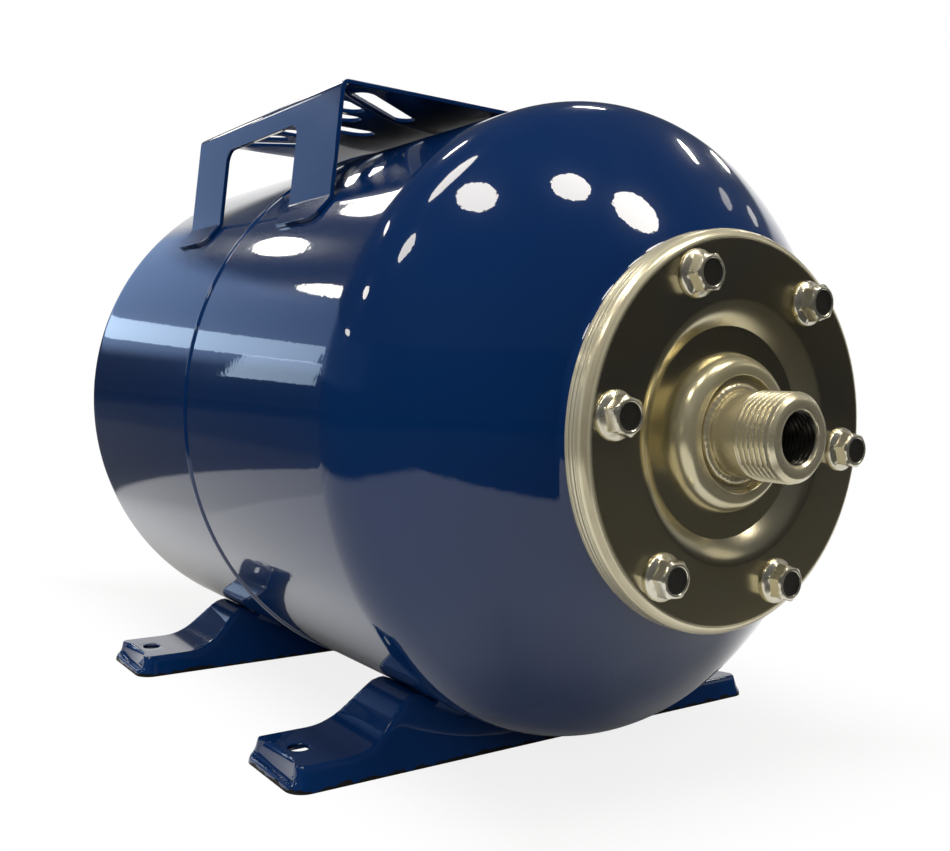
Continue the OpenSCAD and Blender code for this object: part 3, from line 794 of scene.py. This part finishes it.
def footRing(inset, columns):
    # the outline moved in by inset: front side left to right, right end, rear side, left end
    halfLen, halfWide, steps = foot["length"] / 2, foot["width"] / 2, foot["cornerSteps"]
    innerCorner = max(foot["corner"] - inset, 0.5)
    w, l = halfWide - inset, halfLen - inset * foot["endPace"]
    reach = (l - innerCorner) / (halfLen - foot["corner"])
    points = []
    for ys in (-1, 1):
        points += [(-ys * x * reach, ys * w, 0.0) for x in columns]
        for k in range(1, 2 * steps + 1):
            late = k > steps   # past the first of the end's two corners
            a = math.radians(90 * ys + 90 * (k - (1 if late else 0)) / steps)
            centreY = (-ys if late else ys) * (w - innerCorner)
            points.append((-ys * (l - innerCorner) + innerCorner * math.cos(a),
                           centreY + innerCorner * math.sin(a), abs(math.cos(a))))
    return points


def footHole(verts, faces, grid, i, centreX):
    # rings from the border of missing columns in to the rounded edge of a bolt hole
    lo, hi, rows = i - 3, i + 3, foot["rows"]
    border = [grid[c][0] for c in range(lo, hi)] + [grid[hi][k] for k in range(rows)]
    border += [grid[c][rows] for c in range(hi, lo, -1)] + [grid[lo][k] for k in range(rows, 0, -1)]
    previous = border
    for wider, dip in ((0.7, 0.0), (0.2, 0.08), (0.0, 0.3)):
        radius = foot["hole"] / 2 + wider
        ring = []
        for index in border:
            a = math.atan2(verts[index][1], verts[index][0] - centreX)
            verts.append((centreX + radius * math.cos(a), radius * math.sin(a), foot["pad"] - dip))
            ring.append(len(verts) - 1)
        for k in range(len(border)):
            n = (k + 1) % len(border)
            faces.append((previous[k], previous[n], ring[n], ring[k]))
        previous = ring


def footSkin():
    # the outside of a foot, standing at the origin
    line = footRise()
    columns = footColumns()
    flats, steps, rows = len(columns), foot["cornerSteps"], foot["rows"]
    rings = [footRing(inset, columns) for inset in footInsets]
    count = len(rings[0])
    verts, faces = [], []
    for inset, ring in zip(footInsets, rings):
        for x, y, endShare in ring:
            pace = 1 - (1 - foot["endPace"]) * endShare
            z = softMin(footWall(inset * pace, endShare), footTop(x, line), foot["topBend"])
            verts.append((x, y, max(z, 0.0)))
    for r in range(len(rings) - 1):
        for i in range(count):
            j = (i + 1) % count
            faces.append((r * count + i, r * count + j, (r + 1) * count + j, (r + 1) * count + i))
    # the flat middle: rows across, from the front side of the last ring to its rear side
    last = (len(rings) - 1) * count
    block = flats + 2 * steps
    grid = []
    for i in range(flats):
        a, b = last + i, last + block + flats - 1 - i
        row = [a]
        for k in range(1, rows):
            x, f = verts[a][0], k / rows
            verts.append((x, verts[a][1] + (verts[b][1] - verts[a][1]) * f, footTop(x, line)))
            row.append(len(verts) - 1)
        grid.append(row + [b])
    hole = foot["holePitch"] / 2
    holeColumns = [i for i in range(flats) if abs(abs(columns[i]) - hole) < 0.01]
    skip = {i + d for i in holeColumns for d in (-3, -2, -1, 0, 1, 2)}
    for i in range(flats - 1):
        if i not in skip:
            for k in range(rows):
                faces.append((grid[i][k], grid[i + 1][k], grid[i + 1][k + 1], grid[i][k + 1]))
    # the strip at each end between the last column and the rounded end of the last ring
    for first, row in ((last + block + flats, grid[0][::-1]), (last + flats, grid[-1])):
        ends = [first + k for k in range(2 * steps)]
        for k in range(steps - 1):
            faces.append((row[0], ends[k], ends[k + 1]))
            faces.append((row[-1], ends[steps + k], ends[steps + k + 1]))
        faces.append((ends[steps - 1], ends[steps], *row[::-1]))
    for i in holeColumns:
        footHole(verts, faces, grid, i, math.copysign(hole, columns[i]))
    return verts, faces


def buildFoot(name, side, nodeName):
    verts, faces = footSkin()
    shape = bmesh.new()
    made = [shape.verts.new(v) for v in verts]
    for face in faces:
        if len(set(face)) == len(face):
            shape.faces.new([made[i] for i in face])
    bmesh.ops.remove_doubles(shape, verts=shape.verts, dist=0.004)
    bmesh.ops.recalc_face_normals(shape, faces=shape.faces)
    if max(shape.faces, key=lambda f: f.calc_center_median().z).normal.z < 0:
        bmesh.ops.reverse_faces(shape, faces=shape.faces)
    shape.normal_update()
    # the sheet's inside, then the bare edges that join both
    inner = {}
    for vert in list(shape.verts):
        place = vert.co - vert.normal * foot["sheet"]
        if vert.co.z < 0.01:
            flat = Vector((vert.normal.x, vert.normal.y, 0)).normalized()
            place = vert.co - flat * foot["sheet"]
        place.z = max(place.z, 0.0)
        inner[vert] = shape.verts.new(place)
    rims = [edge for edge in shape.edges if len(edge.link_faces) == 1]
    for face in list(shape.faces):
        shape.faces.new([inner[v] for v in reversed(face.verts)])
    for edge in rims:
        a, b = edge.verts
        shape.faces.new((a, b, inner[b], inner[a]))
    bmesh.ops.recalc_face_normals(shape, faces=shape.faces)
    middle = tank["faceY"] + tankMiddle + side * foot["pitch"] / 2 * mm
    for vert in shape.verts:
        vert.co = Vector((vert.co.x * mm, middle + vert.co.y * mm, vert.co.z * mm))
    for face in shape.faces:
        face.smooth = True
    mesh = bpy.data.meshes.new(name)
    shape.to_mesh(mesh)
    shape.free()
    mesh.set_sharp_from_angle(angle=math.radians(foot["smooth"]))
    mesh.materials.append(footPaint)
    linkPiece(name, mesh, [nodeName])


buildFoot("frontFoot", -1, "front_foot")
buildFoot("rearFoot", 1, "rear_foot")
print("feet pressed")

# pump bracket: a flat blank folded along its bends
bracket = {"length": 161.0, "plate": 192.0, "gap": 5.5, "sheet": 2.0, "leg": 40.0, "strip": 12.5, "bend": 4.0,
           "heelBend": 2.0, "tabLow": 37.3, "tabHigh": 42.6, "tabStop": 2.2, "windowCorner": 6.0, "windowStep": 12,
           "chop": 3.5, "edge": 0.45, "shift": 1, "rows": 16}
# far end, near end and width of the slots, for the quarter with x and y above 0
quarterSlots = [((78, 66.5), (41, 40), 10.0), ((80, 47.2), (69.5, 39.9), 11.5), ((69.5, 23.2), (63, 23.2), 13.5)]
middleSlot = ((70, 0), (42.5, 0), 14.0)


def bracketPath():
    # outer face of the sheet seen from the front, from the left tab to the middle of the plate
    top = axisUp + saddle + bracket["gap"] + bracket["sheet"]
    reach = saddle + bracket["sheet"]

    def onTank(angle):
        a = math.radians(angle)
        return (-reach * math.cos(a), axisUp + reach * math.sin(a))

    low, high = bracket["tabLow"], bracket["tabHigh"]
    heel = onTank(high)
    tab = [onTank(low + (high - bracket["tabStop"] - low) * k / 5) for k in range(6)]
    corner = (-bracket["plate"] / 2, top)
    path = tab + roundCorner(tab[-1], heel, corner, bracket["heelBend"], 6)
    return path + roundCorner(heel, corner, (0, top), bracket["bend"], 10) + [(0, top)]


def bracketOutline(edge, wallTop):
    # the flat blank with a window between the legs of each side wall
    halfLen = bracket["length"] / 2
    windowHalf = halfLen - bracket["leg"]
    chop, r = bracket["chop"], bracket["windowCorner"]
    outline = [(edge + chop, -halfLen), (-edge - chop, -halfLen), (-edge, -halfLen + chop),
               (-edge, -windowHalf - chop), (-edge - chop, -windowHalf),
               (-wallTop + bracket["windowStep"], -windowHalf)]
    outline += arcPoints((-wallTop + r, -windowHalf + r), r, -90, -180, 8)
    outline += arcPoints((-wallTop + r, windowHalf - r), r, 180, 90, 8)
    outline += [(-edge - chop, windowHalf), (-edge, windowHalf + chop), (-edge, halfLen - chop),
                (-edge - chop, halfLen)]
    outline += [(-x, y) for x, y in outline[::-1]]
    clean = []
    for point in outline:
        if not clean or (Vector(point) - Vector(clean[-1])).length > 0.05:
            clean.append(point)
    return clean


def slotLoop(a, b, width):
    run = Vector(b) - Vector(a)
    turn = math.degrees(math.atan2(run.y, run.x))
    return (arcPoints(b, width / 2, turn - 90, turn + 90, 12)
            + arcPoints(a, width / 2, turn + 90, turn + 270, 12))


def bracketSlots():
    # the plate's slots are placed by x, which the blank carries on its flat middle
    loops = []
    for mirror in (-1, 1):
        for side in (-1, 1):
            for far, near, width in quarterSlots:
                loops.append(slotLoop((mirror * far[0], side * far[1]), (mirror * near[0], side * near[1]), width))
        far, near, width = middleSlot
        loops.append(slotLoop((mirror * far[0], 0), (mirror * near[0], 0), width))
    return loops


def inside(p, loop):
    hit = False
    for k in range(len(loop)):
        a, b = loop[k], loop[k - 1]
        if (a[1] > p[1]) != (b[1] > p[1]) and p[0] < (b[0] - a[0]) * (p[1] - a[1]) / (b[1] - a[1]) + a[0]:
            hit = not hit
    return hit


def buildBracket():
    path = bracketPath()
    lengths = [0.0]
    for a, b in zip(path, path[1:]):
        lengths.append(lengths[-1] + (Vector(b) - Vector(a)).length)
    stations = [l - lengths[-1] for l in lengths]   # 0 at the middle of the plate
    stations += [-l for l in stations[-2::-1]]
    full = path + [(-x, z) for x, z in path[-2::-1]]

    def folded(s):
        for k in range(len(stations) - 1):
            if s <= stations[k + 1] or k == len(stations) - 2:
                f = min(max((s - stations[k]) / (stations[k + 1] - stations[k]), 0), 1)
                a, b = full[k], full[k + 1]
                return (a[0] + (b[0] - a[0]) * f, a[1] + (b[1] - a[1]) * f)

    # the place on the wall that lies one strip below the plate's top
    wallZ = path[-1][1] - bracket["strip"]
    k = next(k for k in range(len(path) - 1) if path[k][1] <= wallZ <= path[k + 1][1])
    f = (wallZ - path[k][1]) / (path[k + 1][1] - path[k][1])
    wallTop = stations[k] + (stations[k + 1] - stations[k]) * f
    outline, holes = bracketOutline(stations[0], wallTop), bracketSlots()

    points, edges = [], []
    for loop in [outline, *holes]:
        start = len(points)
        points.extend(Vector(p) for p in loop)
        edges.extend((start + k, start + (k + 1) % len(loop)) for k in range(len(loop)))
    # a line across the blank at each station, so that it folds there
    reach, rows = bracket["length"] / 2 + 1, bracket["rows"]
    for s in stations[1:-1]:
        if abs(s) > 1e-6:
            start = len(points)
            points.extend(Vector((s, -reach + 2 * reach * k / rows)) for k in range(rows + 1))
            edges.extend((start + k, start + k + 1) for k in range(rows))
    verts, _, faces, *_ = delaunay_2d_cdt(points, edges, [], 0, 1e-4)
    kept = []
    for face in faces:
        centre = sum((Vector(verts[i]) for i in face), Vector((0, 0))) / len(face)
        if inside(centre, outline) and not any(inside(centre, hole) for hole in holes):
            kept.append(tuple(face))
    middle = tank["faceY"] + tankMiddle + bracket["shift"] * mm
    used = sorted({i for face in kept for i in face})
    where = {old: new for new, old in enumerate(used)}
    solid = []
    for i in used:
        x, z = folded(verts[i][0])
        solid.append((x * mm, middle + verts[i][1] * mm, z * mm))
    piece = newPiece("pumpBracket", solid, [tuple(where[i] for i in face) for face in kept], pressedPaint, 30,
                     ["pump_bracket"])
    # joins the flat triangles of each bend strip so that the edges bevel cleanly
    shape = bmesh.new()
    shape.from_mesh(piece.data)
    bmesh.ops.remove_doubles(shape, verts=shape.verts, dist=0.00001)
    bmesh.ops.dissolve_limit(shape, angle_limit=math.radians(0.8), verts=shape.verts, edges=shape.edges)
    bmesh.ops.recalc_face_normals(shape, faces=shape.faces)
    if max(shape.faces, key=lambda f: f.calc_area()).normal.z < 0:
        bmesh.ops.reverse_faces(shape, faces=shape.faces)
    shape.to_mesh(piece.data)
    shape.free()
    sheet = piece.modifiers.new("sheet", "SOLIDIFY")
    sheet.thickness = bracket["sheet"] * mm
    sheet.offset = -1
    sheet.use_even_offset = True
    soft = piece.modifiers.new("edges", "BEVEL")
    soft.width = bracket["edge"] * mm
    soft.segments = 2
    soft.limit_method = "ANGLE"
    soft.angle_limit = math.radians(50)
    soft.harden_normals = True


buildBracket()
print("bracket folded")

studio = {
    "floorSize": 30,
    "floorZ": -0.0002,
    "floorColour": (0.48, 0.475, 0.46),
    "darkFloor": (0.02, 0.02, 0.02),
    "shadowShare": 0.84,   # share of plain white under the object, the rest takes light and shadow
    "white": (1, 1, 1),
    "dim": (0.03, 0.031, 0.034),
    "overhead": (0.07, 0.075, 0.085),
    "overheadFrom": (0.332, 0.375),   # height of the world's upward direction where it takes over
    "sideGlow": (0.36, 0.52, 0.86),
    "sideFrom": (0.10, 0.15),
    # azimuth in degrees from +Y towards +X, and the share of the white backdrop or of the side glow there
    "backdropShare": [(-180, 0), (5, 0), (10, 1), (66, 1), (80, 0.5), (100, 0.25), (112, 0), (180, 0)],
    "sideShare": [(-180, 0), (-120, 0), (-95, 0.2), (-40, 0.3), (-30, 1), (5, 1), (12, 0), (180, 0)],
}
# edges of the white paper that the gloss mirrors, in metres on the floor, from where it fades to where it is full
paper = {"frontY": (-0.51, -0.465), "notchX": (-0.12, -0.03), "notch": 0.18, "leftX": (-0.56, -0.46),
         "slant": 0.198, "slantX": (-0.205, -0.25), "greyY": (0.235, 0.255), "grey": 0.35,
         "endY": (0.43, 0.46), "ended": 0.62}
# where the floor's own shading ends and plain white starts, on each side of the object
clearFrom = {"leftX": (-0.05, -0.13), "rightX": (0.08, 0.22), "frontY": (-0.165, -0.26), "rearY": (0.26, 0.4)}


def paperMask(tree, x, y):
    # paper under and behind the object; it ends in front, and to the left it turns grey and stops
    notch = mathNode(tree, "MULTIPLY", smoothMask(tree, x, *paper["notchX"]), paper["notch"])
    inFront = smoothMask(tree, mathNode(tree, "SUBTRACT", y, notch), *paper["frontY"])
    fromLeft = smoothMask(tree, x, *paper["leftX"])
    slant = mathNode(tree, "SUBTRACT", x, mathNode(tree, "MULTIPLY", y, paper["slant"]))
    greyer = mathNode(tree, "MULTIPLY", smoothMask(tree, y, *paper["greyY"]), paper["grey"])
    ended = mathNode(tree, "MULTIPLY", smoothMask(tree, y, *paper["endY"]), paper["ended"])
    atLeft = smoothMask(tree, slant, *paper["slantX"])
    taken = mathNode(tree, "MULTIPLY", mathNode(tree, "ADD", greyer, ended), atLeft)
    return mathNode(tree, "MULTIPLY", mathNode(tree, "MULTIPLY", inFront, fromLeft),
                    mathNode(tree, "SUBTRACT", 1.0, taken))


def buildStage():
    size, z = studio["floorSize"], studio["floorZ"]
    mesh = bpy.data.meshes.new("floor")
    mesh.from_pydata([(-size, -size, z), (size, -size, z), (size, size, z), (-size, size, z)], [], [(0, 1, 2, 3)])
    floor = bpy.data.objects.new("floor", mesh)
    bpy.context.scene.collection.objects.link(floor)
    material, tree, shader = newMaterial("floorPale", Roughness=0.8)
    split = splitUp(tree, objectPlace(tree))
    x, y = split["X"], split["Y"]
    onPaper = paperMask(tree, x, y)
    clear = smoothMask(tree, x, *clearFrom["leftX"])
    for value, side in ((x, "rightX"), (y, "frontY"), (y, "rearY")):
        clear = mathNode(tree, "MAXIMUM", clear, smoothMask(tree, value, *clearFrom[side]))
    rays = addNode(tree, "ShaderNodeLightPath").outputs
    mirrored = mathNode(tree, "MAXIMUM", rays["Is Glossy Ray"], rays["Is Transmission Ray"])
    seenShare = mathNode(tree, "MULTIPLY", rays["Is Camera Ray"], rangeOf(tree, clear, studio["shadowShare"], 1.0))
    mirroredShare = mathNode(tree, "MULTIPLY", mathNode(tree, "MULTIPLY", mirrored, clear), onPaper)
    colour = mixColours(tree, onPaper, studio["darkFloor"], studio["floorColour"])
    tree.links.new(colour, shader.inputs["Base Color"])
    glow = addNode(tree, "ShaderNodeEmission", Strength=1.0)
    both = addNode(tree, "ShaderNodeMixShader", links={
        0: mathNode(tree, "MAXIMUM", seenShare, mirroredShare), 1: shader.outputs[0], 2: glow.outputs[0]})
    tree.links.new(both.outputs[0], tree.nodes["Material Output"].inputs["Surface"])
    mesh.materials.append(material)


def roundRamp(tree, turn, shares):
    node = addNode(tree, "ShaderNodeValToRGB", links={"Fac": turn})
    ramp = node.color_ramp
    while len(ramp.elements) > 1:
        ramp.elements.remove(ramp.elements[-1])
    for k, (angle, share) in enumerate(shares):
        position = (angle + 180) / 360
        stop = ramp.elements[0] if k == 0 else ramp.elements.new(position)
        stop.position = position
        stop.color = (share, share, share, 1)
    return node.outputs["Color"]


def buildRoom():
    # a white backdrop behind the object, dim daylight to the left of it, and a dim room all round
    world = bpy.data.worlds.new("studio")
    bpy.context.scene.world = world
    world.use_nodes = True
    tree = world.node_tree
    direction = splitUp(tree, addNode(tree, "ShaderNodeTexCoord").outputs["Generated"])
    azimuth = mathNode(tree, "ARCTAN2", direction["X"], direction["Y"])
    turn = rangeOf(tree, azimuth, 0, 1, -math.pi, math.pi)
    height = direction["Z"]
    side = mathNode(tree, "MULTIPLY", roundRamp(tree, turn, studio["sideShare"]),
                    smoothMask(tree, height, *studio["sideFrom"]))
    colour = mixColours(tree, side, studio["dim"], studio["sideGlow"])
    colour = mixColours(tree, roundRamp(tree, turn, studio["backdropShare"]), colour, studio["white"])
    colour = mixColours(tree, smoothMask(tree, height, *studio["overheadFrom"]), colour, studio["overhead"])
    rays = addNode(tree, "ShaderNodeLightPath")
    colour = mixColours(tree, rays.outputs["Is Camera Ray"], colour, studio["white"])
    tree.links.new(colour, tree.nodes["Background"].inputs["Color"])


def addLamp(name, place, target, width, depth, power, colour, mirrored=True, shape="RECTANGLE"):
    data = bpy.data.lights.new(name, "AREA")
    data.shape = shape
    data.size, data.size_y = width, depth
    data.energy = power
    data.color = colour
    lamp = bpy.data.objects.new(name, data)
    bpy.context.scene.collection.objects.link(lamp)
    lamp.location = place
    lamp.rotation_euler = (Vector(target) - Vector(place)).to_track_quat("-Z", "Y").to_euler()
    lamp.visible_glossy = mirrored


ceiling = {"height": 2.446, "tint": (1.0, 0.955, 0.87), "lean": 0.6}
# x, y, width, depth and power of the ceiling lamps
ceilingPanels = [
    (-0.64, -0.87, 0.44, 0.46, 9), (0.38, -1.06, 0.46, 0.40, 8), (1.16, -1.43, 0.60, 0.66, 18),
    (2.7, 0.58, 0.45, 0.12, 3), (4.25, 2.0, 0.40, 0.14, 3), (3.27, 0.0, 0.5, 0.22, 0.5),
    (4.45, 0.63, 0.5, 0.22, 0.5), (1.55, 1.03, 0.40, 0.16, 4), (-0.66, -0.06, 0.46, 0.8, 13),
    (-1.92, -0.7, 0.55, 0.55, 11), (-1.45, 1.52, 0.5, 0.14, 3), (0.03, 1.39, 0.38, 0.18, 4),
    (-3.27, 0.92, 0.6, 0.3, 8), (-5.2, 2.4, 1.0, 0.18, 6), (0.0, 3.45, 0.52, 0.5, 6),
    (1.0, 4.18, 0.6, 0.2, 3), (-0.55, 4.68, 0.52, 0.3, 5), (-1.95, 5.3, 0.6, 0.26, 4), (4.4, -2.4, 2.4, 1.4, 6)]
# place, target, width, depth and power; daylight is mirrored along the side of the tank, the soft lamps aren't
daylight = (0.62, 0.80, 1.0)
daylights = [((-1.32, 3.81, 0.92), (-0.12, 0, 0.2), 1.34, 0.25, 2.5),
             ((-1.81, 3.63, 0.64), (-0.12, 0, 0.2), 0.42, 0.32, 1.0)]
softLamps = {"softTop": ((0, 0, 1.9), (0, 0, 0.14), 1.2, 1.2, 9),
             "softKey": ((-2.0, -1.9, 1.5), (0, 0, 0.14), 1.6, 1.2, 42),
             "softFill": ((2.0, -2.2, 1.2), (0, 0, 0.15), 1.4, 1.2, 17)}

buildStage()
buildRoom()
for k, (x, y, width, depth, power) in enumerate(ceilingPanels):
    addLamp("ceilingPanel." + str(k + 1), (x, y, ceiling["height"]), (x * ceiling["lean"], y * ceiling["lean"], 0),
            width, depth, power, ceiling["tint"], shape="ELLIPSE")
for k, lamp in enumerate(daylights):
    addLamp("daylight." + str(k + 1), *lamp, daylight)
for name, lamp in softLamps.items():
    addLamp(name, *lamp, studio["white"], mirrored=False)
print("floor and lamps set")

# angles in degrees and place in metres from the middle of the flange face; focal in pixels of the image
cameraLook = {"place": (-0.3093, -0.2651, 0.0203), "yaw": 35.416, "pitch": 3.099, "roll": 1.526,
              "focal": 1058.5, "imageWidth": 950.0, "sensor": 36, "shiftY": 0.0044, "shiftX": 0.0005}


def buildCamera():
    yaw, pitch, roll = (math.radians(cameraLook[k]) for k in ("yaw", "pitch", "roll"))
    ahead = Vector((math.sin(yaw) * math.cos(pitch), math.cos(yaw) * math.cos(pitch), -math.sin(pitch)))
    level = Vector((math.cos(yaw), -math.sin(yaw), 0))
    upright = level.cross(ahead)
    right = math.cos(roll) * level + math.sin(roll) * upright
    up = -math.sin(roll) * level + math.cos(roll) * upright
    data = bpy.data.cameras.new("photoCamera")
    data.sensor_fit = "HORIZONTAL"
    data.sensor_width = cameraLook["sensor"]
    data.lens = cameraLook["sensor"] * cameraLook["focal"] / cameraLook["imageWidth"]
    data.shift_x, data.shift_y = cameraLook["shiftX"], cameraLook["shiftY"]
    data.clip_start = 0.01
    camera = bpy.data.objects.new("photoCamera", data)
    bpy.context.scene.collection.objects.link(camera)
    place = Vector(cameraLook["place"]) + Vector((0, tank["faceY"], tank["axisHeight"]))
    camera.matrix_world = Matrix(((right.x, up.x, -ahead.x, place.x), (right.y, up.y, -ahead.y, place.y),
                                  (right.z, up.z, -ahead.z, place.z), (0, 0, 0, 1)))
    bpy.context.scene.camera = camera


buildCamera()
bpy.context.scene.view_settings.view_transform = "Standard"

print("scene ready")
